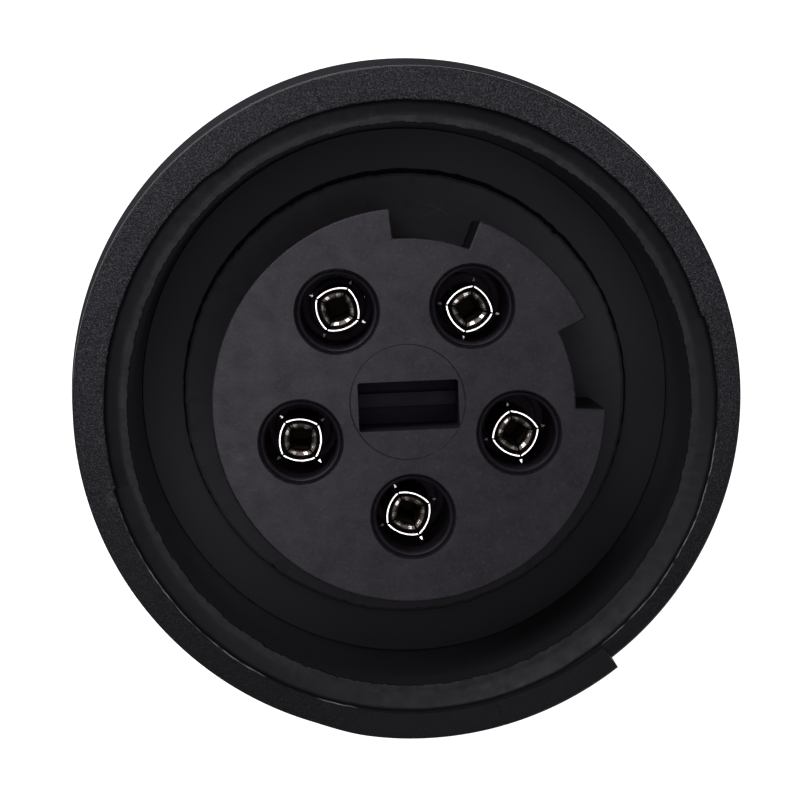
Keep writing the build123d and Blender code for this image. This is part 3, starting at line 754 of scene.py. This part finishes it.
def coupling_ring():
    """The ring as one closed skin, with the grain's reach as an attribute, and one more for paler nicks and a
    painted highlight on the lower spans of the mouth's edge
    """
    angles = [0.5 * i for i in range(720)]
    angles += [CAM_TO + 0.04, CAM_TO - 0.04, SEAM - 0.04, SEAM + 0.04, SEAM + 179.96, SEAM + 180.04]
    angles += [seam + off for seam in SEAMS for off in (-0.18, -0.12, 0.12, 0.18, 0.0)]
    angles = sorted(set(angles))
    made = [ring_section(a) for a in angles]
    materials = [RING_FACE, RING_SIDE, RING_WALL, RING_LIP, RING_EDGE]
    ring = lathe("ring_body", [points for points, _ in made], angles, materials, made[0][1])
    grain = ring.data.attributes.new("grain", "FLOAT", "POINT")
    nicks_and_highlight = ring.data.attributes.new("nicks_and_highlight", "FLOAT", "POINT")
    grains, nicks_and_highlights = [], []
    for v in ring.data.vertices:
        angle = math.degrees(math.atan2(v.co.y, v.co.x)) % 360
        radius, depth = math.hypot(v.co.x, v.co.y) / MM, FACE_Z - v.co.z / MM
        on_cam = blend(angle, CAM_FROM - 3, CAM_FROM + 14) * (1 - blend(angle, CAM_TO + 5, CAM_TO + 14))
        patch = between(angle, *SCUFFED, 2.0) * (1 - blend(radius, 22.3, 22.7))
        grains.append(1.0 - 0.7 * on_cam - 0.3 * patch)
        edge = mouth_edge(angle)
        # painted highlight on the mouth's edge over the listed spans; the nicks are paler chips
        edge_highlight = 0.0
        if radius < edge + 0.07:
            edge_highlight = max(between(angle, *span) for span in EDGE_HIGHLIGHTS) * (0.5 + wobble(angle, 30.0, 1.2, 2.0))
        nicked = max(0.1 * tent(angle, SEAM_NICK, 1.4), 0.16 * tent(angle, EDGE_NICK, 1.6))
        at_edge = abs(radius - edge) < 0.5 and depth < 0.2
        nicks_and_highlights.append(min(1.0, max(0.0, edge_highlight, nicked)) if at_edge else 0.0)
    grain.data.foreach_set("value", grains)
    nicks_and_highlight.data.foreach_set("value", nicks_and_highlights)
    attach(ring, "ring")
    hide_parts("coupling_ring")


# Front housing and its seal


def thread(depth, angle, deep):
    """How far a right-hand thread cuts in at a depth and an angle"""
    turn = (depth / PITCH_OF_THREAD + angle / 360.0) % 1.0
    return deep * (1 - blend(abs(turn - 0.5), 0.12, 0.38))


def front_housing():
    """Floor of the recess with a ragged gap round the seal, neck, and threaded tail"""
    angles = [0.75 * i for i in range(480)]
    rows = [23.6 + 0.15 * i for i in range(55)]
    sections = []
    for a in angles:
        gap = GASKET_EDGE + 0.12 + 0.06 * math.sin(math.radians(a))
        gap += wobble(a, 20.0, 0.06, 11.0) + wobble(a, 55.0, 0.04, 12.0)
        points = [(14.4, FLOOR), (16.3, FLOOR), (16.35, FLOOR + 0.3), (gap + 0.05, FLOOR + 0.3)]
        points += [(gap + 0.02, FLOOR + 0.06), (gap + 0.06, FLOOR), (FLANGE + 0.07, FLOOR)]
        points += [(FLANGE + 0.1, FLOOR + 0.03), (FLANGE + 0.1, FLOOR + 0.4), (FLANGE, FLOOR + 0.5)]
        points += [(FLANGE, FLANGE_BACK), (NECK, FLANGE_BACK), (NECK, 20.9), (NECK - 0.15, 21.05)]
        points += [(TAIL, 21.05 + 0.15 * i) for i in range(6)]
        points += [(TAIL, 22.0), (GROOVE, GROOVE_FROM), (GROOVE, GROOVE_TO), (TAIL, 23.5)]
        for depth in rows:
            points.append((TAIL - thread(depth, a, 0.45) * (1 - blend(depth, 31.0, 31.7)), depth))
        points += [(TAIL - 0.4, TAIL_END), (15.1, TAIL_END), (15.1, 25.85), (14.4, 25.85)]
        sections.append(points)
    # painted shadow: the gap round the seal takes the near-black deep_shadow material
    bands = [0, 1, 1, 1] + [0] * (len(sections[0]) - 4)
    housing = lathe("housing_body", sections, angles, [HOUSING, DEPTH], bands)
    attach(housing, "housing")
    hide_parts("front_housing")


def gasket():
    """Flat seal with a torn outer edge"""
    angles = [0.5 * i for i in range(720)]
    sections = []
    for a in angles:
        c, s = polar(1, a)
        edge = GASKET_EDGE - 0.12 * s + wobble(a, 22.0, 0.08, 21.0) + wobble(a, 60.0, 0.045, 22.0)
        edge -= 0.12 * max(tent(a, crack, 0.8) for crack in GASKET_CRACKS) + 0.15 * tent(a, 47.0, 0.9)
        top = GASKET_TOP + wobble(a, 5.0, 0.04, 23.0)
        face = max(GASKET_TOP, top) + 0.01
        hole = NOSE + NOSE_WIDE + 0.03 + NOSE_X * c + NOSE_Y * s
        points = [(hole, GASKET_FOOT), (hole, top + 0.1), (hole + 0.03, top + 0.03), (hole + 0.1, face)]
        points += [(15.5, max(GASKET_TOP, top + 0.01)), (edge - 0.25, face), (edge - 0.06, top + 0.07)]
        points += [(edge, top + 0.2), (edge - 0.02, 15.8), (edge - 0.05, GASKET_FOOT)]
        sections.append(points)
    seal = lathe("seal_body", sections, angles, [GASKET])
    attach(seal, "housing")
    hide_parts("interface_gasket")


# Contact insert


def nose_outline():
    """Outline of the nose: a circle with two keyways"""
    points = []
    wide = NOSE + NOSE_WIDE
    stops = [(NOTCHES[0][1], NOTCHES[1][0] + 360, wide), (NOTCHES[1][0], NOTCHES[1][1], NOTCH_FLOOR)]
    stops += [(NOTCHES[1][1], NOTCHES[0][0], wide), (NOTCHES[0][0], NOTCHES[0][1], NOTCH_FLOOR)]
    for start, end, radius in stops:
        steps = round(end - start)
        points += [polar(radius, start + (end - start) * i / steps) for i in range(steps + 1)]
    return [(x + NOSE_X, y + NOSE_Y) for x, y in points]


def cavity_tool(index, profile, materials, bands):
    """Turned cutter on a contact's axis"""
    return solid_turn("cavity_tool", profile, materials, bands, 96, polar(PITCH, CONTACT_ANGLES[index]))


def mouth_tool(index):
    """What a contact cavity takes out of the nose"""
    profile = [(BORE_MOUTH + 0.04, NOSE_DEPTH - 0.5), (BORE_MOUTH + 0.04, NOSE_DEPTH - 0.01)]
    profile += [(BORE_MOUTH - 0.02, NOSE_DEPTH + 0.02), (BORE_MOUTH - 0.06, NOSE_DEPTH + 0.09)]
    profile += [(BORE_MOUTH - 0.1, NOSE_DEPTH + 0.5), (BORE + 0.19, NOSE_DEPTH + 0.82)]
    profile += [(BORE + 0.12, NOSE_DEPTH + 0.85), (BORE, NOSE_DEPTH + BORE_STEP - 0.15)]
    profile += [(BORE, NOTCH_END + 0.5)]
    return cavity_tool(index, profile, [INSERT, BORE_WALL], [0, 0, 0, 0, 1, 0, 1, 1])


def rear_tool(index):
    """What it takes out behind the nose"""
    foot = NOSE_DEPTH + BORE_DEPTH
    profile = [(BORE, NOTCH_END - 0.5), (BORE, foot)]
    profile += [(SHANK_BORE, foot + 0.01), (SHANK_BORE, INSERT_END + 0.5)]
    return cavity_tool(index, profile, [BORE_WALL, BORE_FOOT], [0, 1, 1])


def turn_outline(outline):
    """Turn (x, y) points by the small angle that the slot sits at"""
    c, s = math.cos(math.radians(TURN)), math.sin(math.radians(TURN))
    return [(x * c - y * s, x * s + y * c) for x, y in outline]


def corners(half, upper, lower):
    """Corners of a rectangle across the middle"""
    return [(half, upper), (-half, upper), (-half, lower), (half, lower)]


def slot_tool(top, bottom):
    """Slot in the middle, between two depths"""
    outline = []
    for corner, (cx, cy) in enumerate(corners(SLOT_HALF, SLOT_UPPER, SLOT_LOWER)):
        start = 90.0 * corner
        for i in range(5):
            dx, dy = polar(SLOT_CORNER, start + 22.5 * i)
            outline.append((cx + dx, cy + dy))
    return prism("slot_tool", turn_outline(outline), top, bottom, SLOT_WALL)


def slot_bar(name, upper, lower, top, bottom, material):
    """Bar that runs through the slot from end to end"""
    outline = turn_outline(corners(SLOT_HALF + 0.23, upper, lower))
    return prism(name, outline, top, bottom, material)


def contact_insert():
    """Nose with keyways, contact cavities, slot and witness circle, and the body behind it"""
    nose = prism("nose", nose_outline(), NOSE_DEPTH, NOTCH_END, INSERT)
    for material in (BORE_WALL, SLOT_WALL, INSERT_SIDE):
        nose.data.materials.append(material)
    bevel(nose, 0.14, 3)
    far, near = CIRCLE + CIRCLE_LINE, CIRCLE - CIRCLE_LINE
    circle = [(far, NOSE_DEPTH - 0.3), (far, NOSE_DEPTH + 0.01), (CIRCLE, NOSE_DEPTH + 0.04)]
    circle += [(near, NOSE_DEPTH + 0.01), (near, NOSE_DEPTH - 0.3)]
    circle = lathe("circle_tool", [circle] * 160, [2.25 * i for i in range(160)], [INSERT])
    circle.data.transform(Matrix.Translation((CIRCLE_X * MM, 0, 0)))
    cut(nose, [mouth_tool(k) for k in range(5)] + [slot_tool(NOSE_DEPTH - 0.5, NOTCH_END + 0.5), circle])
    section = [(11.7, NOTCH_END), (11.7, 15.22), (NOSE, 15.22), (BODY, 15.25), (BODY, 26.7)]
    section += [(INSERT_RIM, 26.72), (INSERT_RIM, 27.8), (INSERT_RIM - 0.1, INSERT_END)]
    body = solid_turn("insert_rear", section, [INSERT_SIDE])
    cut(body, [rear_tool(k) for k in range(5)] + [slot_tool(NOTCH_END - 0.5, SLOT_END)])
    for polygon in nose.data.polygons:
        if polygon.material_index == 0 and polygon.center.z < at(NOSE_DEPTH + 1.5) * MM:
            polygon.material_index = 3
    rib = slot_bar("slot_rib", 0.3, -0.7, 8.0, 9.0, SLOT_RIB)
    web = slot_bar("slot_web", SLOT_UPPER + 0.22, SLOT_LOWER - 0.22, 9.3, 10.3, SLOT_FLOOR)
    outline = [polar(14.28, 2.0 * i) for i in range(180)]
    shelf = prism("keyway_floor", [(x + NOSE_X, y + NOSE_Y) for x, y in outline], 15.195, 15.24, GASKET)
    cut(shelf, [rear_tool(k) for k in range(5)])
    insert = smooth(join("insert_body", [nose, body, rib, web, shelf]), 30)
    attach(insert, "housing")
    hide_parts("contact_insert")


# Socket contacts

# Section of a leaf: radius in the middle of the side, radius at its corner, depth, and the material of the
# strip before it (0 silver, 1 funnel, 2 land in dull silver, 3 deep in near-black silver, 4 hole in dull
# brown; 2 to 4 are painted shade)
LEAF = [
    (1.54, 1.72, 12.0, 3),
    (1.54, 1.72, 0.8, 3),
    (1.54, 1.72, 0.1, 0),
    (1.52, 1.7, 0.03, 0),
    (1.49, 1.66, 0.0, 0),
    (1.41, 1.57, 0.0, 0),
    (1.38, 1.54, 0.03, 0),
    (1.36, 1.51, 0.1, 1),
    (1.26, 1.4, 0.4, 1),
    (1.15, 1.28, 0.52, 1),
    (1.1, 1.23, 0.55, 2),
    (1.02, 1.14, 0.56, 2),
    (0.92, 1.05, 0.59, 2),
    (0.82, 0.97, 0.65, 2),
    (0.73, 0.9, 0.8, 2),
    (0.69, 0.87, 1.1, 3),
    (0.68, 0.86, 11.0, 4),
]
LEAF_STEPS = 24

# Steps and strips of a leaf painted in bright silver in its funnel: painted highlights on the dull land
HIGHLIGHT_SPOTS = {(i, j) for first, last in ((3, 8), (17, 21)) for i in range(first, last) for j in (10, 11, 12)}


def reach(flat, corner, off):
    """Radius of a bulging side at an angle off its middle, in degrees"""
    c = (flat ** 2 - corner ** 2) / (2 * (flat - corner * math.cos(math.pi / 4)))
    b = math.radians(off)
    return c * math.cos(b) + math.sqrt((flat - c) ** 2 - (c * math.sin(b)) ** 2)


def contact_leaves(index, middle_point):
    """Four leaves round a funnel mouth"""
    cx, cy = middle_point
    count = len(LEAF)
    vertices, faces, indices = [], [], []
    for leaf in range(4):
        middle = LEAF_ANGLES[index] + 45 + 90 * leaf
        base = len(vertices)
        for i in range(LEAF_STEPS + 1):
            for flat, corner, depth, _ in LEAF:
                flat, corner = flat * TIP_SCALE, corner * TIP_SCALE
                half = 45 - math.degrees(SLIT_HALF / flat)
                off = -half + 2 * half * i / LEAF_STEPS
                x, y = polar(reach(flat, corner, off), middle + off)
                vertices.append((cx + x, cy + y, at(TIP_DEPTH + depth)))
        for i in range(LEAF_STEPS):
            for j in range(count - 1):
                a, b = base + i * count + j, base + (i + 1) * count + j
                faces.append((a, b, b + 1, a + 1))
                # painted highlights on the listed steps and strips, the table's material elsewhere
                indices.append(0 if (i, j) in HIGHLIGHT_SPOTS else LEAF[j + 1][3])
        for i in (0, LEAF_STEPS):
            side = [base + i * count + j for j in range(count)]
            faces.append(tuple(side if i == 0 else side[::-1]))
            indices.append(0)
        last = [base + i * count + count - 1 for i in range(LEAF_STEPS + 1)]
        first = [base + i * count for i in range(LEAF_STEPS + 1)]
        faces.append(tuple(first + last[::-1]))
        indices.append(1)
    materials = [SILVER, SILVER_IN, SILVER_LAND, SILVER_SHADED, HOLE]
    return outward(new_object("leaves", vertices, faces, materials, indices))


def socket_contact(index):
    """Leaves, and small bright points that stand in for glints, on a turned shank and barrel, with the hole
    for the clamping screw
    """
    x, y = polar(PITCH, CONTACT_ANGLES[index])
    tip = (x + TIP_FLOATS[index][0], y + TIP_FLOATS[index][1])
    leaves = contact_leaves(index, tip)
    glint_points = [glint_point(tip, LEAF_ANGLES[index] + 90 * k) for k in range(4)]
    section = [(0.95, SHANK_TOP), (1.2, SHANK_TOP + 0.01), (SHANK - 0.15, SHANK_TOP + 0.05)]
    section += [(SHANK, SHANK_TOP + 0.2), (SHANK, INSERT_END), (BARREL, INSERT_END)]
    section += [(BARREL, BARREL_END - 0.15), (BARREL - 0.15, BARREL_END), (BARREL_BORE + 0.1, BARREL_END)]
    section += [(BARREL_BORE, BARREL_END - 0.1), (BARREL_BORE, BARREL_END - 12.0)]
    shank = solid_turn("shank", section, [SILVER, HOLE, BORE_FOOT], steps=64)
    # painted shade: the shank's silver inside the insert takes the hole's brown near the axis and the bore
    # foot's tone beyond
    for polygon in shank.data.polygons:
        inner = math.hypot(polygon.center.x, polygon.center.y) < 0.9 * MM
        polygon.material_index = (1 if inner else 2) if polygon.center.z > at(INSERT_END - 0.5) * MM else 0
    shank.data.transform(Matrix.Translation((x * MM, y * MM, 0)))
    cut(shank, [screw_hole((x, y), polar(1, CONTACT_ANGLES[index]))])
    contact = smooth(join(f"contact_{index + 1}", [leaves, shank] + glint_points), 40)
    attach(contact, "housing")
    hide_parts(f"socket_contact_{index + 1}")


def glint_point(start, angle):
    """Small bright point beside a slit, behind the rim: a painted reflection, standing in for the glint of a
    leaf's corner in the bore's wall
    """
    sections = ((1.7, 0.07, 2.6), (2.02, 0.12, 1.15), (2.28, 0.02, 1.05))
    vertices = []
    for far, half, depth in sections:
        for side in (-half, half):
            for down in (0.0, 1.0):
                c, s = polar(1, angle)
                x, y = start[0] + far * c - side * s, start[1] + far * s + side * c
                vertices.append((x, y, at(TIP_DEPTH + depth + down)))
    faces = [(0, 1, 3, 2), (8, 10, 11, 9)]
    for k in (0, 4):
        faces += [(k, k + 2, k + 6, k + 4), (k + 1, k + 5, k + 7, k + 3)]
        faces += [(k, k + 4, k + 5, k + 1), (k + 2, k + 3, k + 7, k + 6)]
    indices = [0, 0, 0, 0, 0, 0, 1, 0, 0, 0]
    return outward(new_object("glint_point", vertices, faces, [SILVER_SHADED, SILVER], indices))


def screw_hole(start, way):
    """Cutter for the hole of a clamping screw, from a point outward"""
    steps = 32
    sx, sy = -way[1], way[0]
    vertices = []
    for far in (0.0, 4.0):
        x, y = start[0] + way[0] * far, start[1] + way[1] * far
        for i in range(steps):
            u, v = polar(SCREW_HOLE, 360.0 * i / steps)
            vertices.append((x + sx * u, y + sy * u, at(SCREW_DEPTH) + v))
    faces = [tuple(range(steps))[::-1], tuple(range(steps, 2 * steps))]
    faces += [(i, (i + 1) % steps, steps + (i + 1) % steps, steps + i) for i in range(steps)]
    return outward(new_object("hole_tool", vertices, faces, [SILVER_IN]))


# Wave spring


def wave_spring():
    """Flat wire bent in three waves, with a gap"""
    angles = [4.5 + 351.0 * i / 240 for i in range(241)]
    sections = []
    for a in angles:
        middle = 18.03 - 0.22 * math.cos(math.radians(3 * a))
        top, foot = middle - 0.14, middle + 0.14
        sections.append([(17.75, top), (19.75, top), (19.78, middle), (19.75, foot), (17.75, foot)])
    spring = outward(lathe("spring_body", sections, angles, [STEEL], full=False), fill=True)
    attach(spring, "housing")
    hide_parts("wave_spring")


# Rear sleeve and gland nut


def stepped(count, offs):
    """Angles round the axis, with more of them at the edges of count grooves or ribs"""
    angles = [1.5 * i for i in range(240)]
    for off in offs:
        angles += [(360.0 / count * k + side * off) % 360 for k in range(count) for side in (-1, 1)]
    return sorted(set(round(a, 3) for a in angles))


def rear_sleeve():
    """Grooved grip, flared shoulder and gland thread"""
    pitch = 360.0 / GRIP_GROOVES
    angles = stepped(GRIP_GROOVES, (2.4, 2.7, 3.0))
    rows = [51.8 + 0.15 * i for i in range(103)]
    sections = []
    for a in angles:
        off = abs((a + pitch / 2) % pitch - pitch / 2)
        groove = GRIP - GRIP_GROOVE * (1 - blend(off, 2.3, 2.95))
        points = [(17.05, 21.05), (SLEEVE_NOSE - 0.2, 21.05), (SLEEVE_NOSE, 21.25)]
        points += [(SLEEVE_NOSE, GRIP_FROM - 0.15), (SLEEVE_NOSE + 0.1, GRIP_FROM), (GRIP - 0.3, GRIP_FROM)]
        points += [(GRIP - 0.08, GRIP_FROM + 0.08), (GRIP, GRIP_FROM + 0.3), (GRIP, 35.0)]
        points += [(groove, 35.15), (groove, 42.9), (GRIP, 43.05), (GRIP, GRIP_TO)]
        for i in range(1, 16):
            t = FLARE_START + (math.pi - FLARE_START) * i / 16
            points.append((SHOULDER + FLARE + FLARE * math.cos(t), SHOULDER_END - FLARE * math.sin(t)))
        points += [(SHOULDER, SHOULDER_END), (GLAND + 0.1, SHOULDER_END), (GLAND, SHOULDER_END + 0.1)]
        points += [(GLAND - thread(depth, a, 0.5) * blend(depth, 52.0, 53.0), depth) for depth in rows]
        points += [(GLAND - 0.5, GLAND_END - 0.1), (GLAND - 0.65, GLAND_END), (CAGE_BORE, GLAND_END)]
        points += [(CAGE_BORE, 54.5), (10.0, 54.5), (10.0, 52.5), (CHAMBER, 49.0), (CHAMBER, 34.3)]
        points += [(17.05, 34.3)]
        sections.append(points)
    sleeve = lathe("sleeve_body", sections, angles, [SLEEVE])
    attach(sleeve, "housing")
    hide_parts("rear_sleeve")


def gland_nut():
    """Ribbed nut with a domed end"""
    pitch = 360.0 / NUT_RIBS
    angles = stepped(NUT_RIBS, (3.4, 3.8, 4.2))
    rows = [53.4 + 0.3 * i for i in range(54)]
    sections = []
    for a in angles:
        off = abs((a + pitch / 2) % pitch - pitch / 2)
        rib = NUT_RIB * (1 - blend(off, 3.2, 4.3))
        points = [(16.5, NUT_TOP), (NUT_SIDE - 0.6, NUT_TOP), (NUT_SIDE - 0.25, NUT_TOP + 0.1)]
        points += [(NUT_SIDE, NUT_TOP + 0.6), (NUT_SIDE, 54.3), (NUT_SIDE + rib * 0.6, 54.4)]
        points += [(NUT_SIDE + rib, 54.9), (NUT_SIDE + rib, 72.0), (NUT_SIDE + rib, 73.6)]
        points += [(NUT_SIDE - 0.15 + rib * 0.9, 74.6), (NUT_SIDE - 0.25, 75.0)]
        for i in range(1, 14):
            t = math.radians(90.0 * (0.18 + 0.82 * i / 13))
            points.append((DOME_IN + (NUT_SIDE - DOME_IN) * math.cos(t), DOME_TOP + DOME_RISE * math.sin(t)))
        points += [(14.5, 86.0), (10.8, 86.0), (10.4, 85.9), (9.55, 84.9), (9.4, 84.6), (9.4, 77.4)]
        points += [(14.2, 77.4), (14.2, 69.6)]
        points += [(GLAND + 0.05 + thread(depth, a, 0.4), depth) for depth in reversed(rows)]
        points += [(GLAND + 0.05, 53.0)]
        sections.append(points)
    nut = lathe("nut_body", sections, angles, [NUT])
    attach(nut, "nut")
    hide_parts("gland_nut")


# Dress the frame's own nodes

for node, material in {
    "rear_insert": INSERT,
    "clamp_cage": CAGE,
    "sealing_bush": GASKET,
    "gland_washer": WASHER,
    "housing_o_ring": GASKET,
    "insert_o_ring": GASKET,
    "contact_retainer": INSERT,
    "retainer_screw": STEEL,
    **{f"terminal_screw_{k + 1}": STEEL for k in range(5)},
}.items():
    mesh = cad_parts[node].data
    mesh.materials.clear()
    mesh.materials.append(material)

coupling_ring()
front_housing()
gasket()
contact_insert()
for k in range(5):
    socket_contact(k)
wave_spring()
rear_sleeve()
gland_nut()


# Stage


def stage():
    """Pale floor, soft lights and the camera"""
    bpy.ops.mesh.primitive_plane_add(size=6.0, location=(0, 0, 0))
    floor = bpy.context.object
    floor.name = "floor"
    f = Finish("floor", (0.93, 0.93, 0.93), 0.9)
    f.shader.inputs["Emission Color"].default_value = (1, 1, 1, 1)
    f.shader.inputs["Emission Strength"].default_value = 1.0
    floor.data.materials.append(f.material)
    world = bpy.data.worlds.new("studio")
    bpy.context.scene.world = world
    world.use_nodes = True
    world.node_tree.nodes["Background"].inputs["Color"].default_value = (1, 1, 1, 1)
    world.node_tree.nodes["Background"].inputs["Strength"].default_value = WORLD
    for settings in LIGHTS:
        light(*settings)
    camera_data = bpy.data.cameras.new("camera")
    camera_data.sensor_width = SENSOR
    camera_data.lens = SENSOR * PIXELS_PER_MM * DISTANCE / FRAME_PIXELS
    camera_data.clip_start = 0.01
    camera_data.clip_end = 20.0
    camera = bpy.data.objects.new("camera", camera_data)
    bpy.context.scene.collection.objects.link(camera)
    camera.location = (CAMERA_X * MM, CAMERA_Y * MM, (FACE_Z + DISTANCE) * MM)
    half = FRAME_PIXELS / 2
    aim_x = (half - AXIS_PIXEL_X) / PIXELS_PER_MM
    aim_y = (AXIS_PIXEL_Y - half) / PIXELS_PER_MM
    aim = Vector((aim_x * MM, aim_y * MM, FACE_Z * MM))
    back = (camera.location - aim).normalized()
    side = Vector((0, 1, 0)).cross(back).normalized()
    turn = Matrix((side, back.cross(side), back)).transposed().to_4x4()
    camera.matrix_world = Matrix.Translation(camera.location) @ turn
    bpy.context.scene.camera = camera
    bpy.context.scene.view_settings.view_transform = "Standard"


def light(name, place, size, power):
    """Square soft light that looks at the connector"""
    data = bpy.data.lights.new(name, "AREA")
    data.size = size
    data.energy = power
    data.color = LIGHT_TINT
    obj = bpy.data.objects.new(name, data)
    bpy.context.scene.collection.objects.link(obj)
    obj.location = place
    obj.rotation_euler = (Vector((0, 0, 0.08)) - Vector(place)).to_track_quat("-Z", "Y").to_euler()


stage()
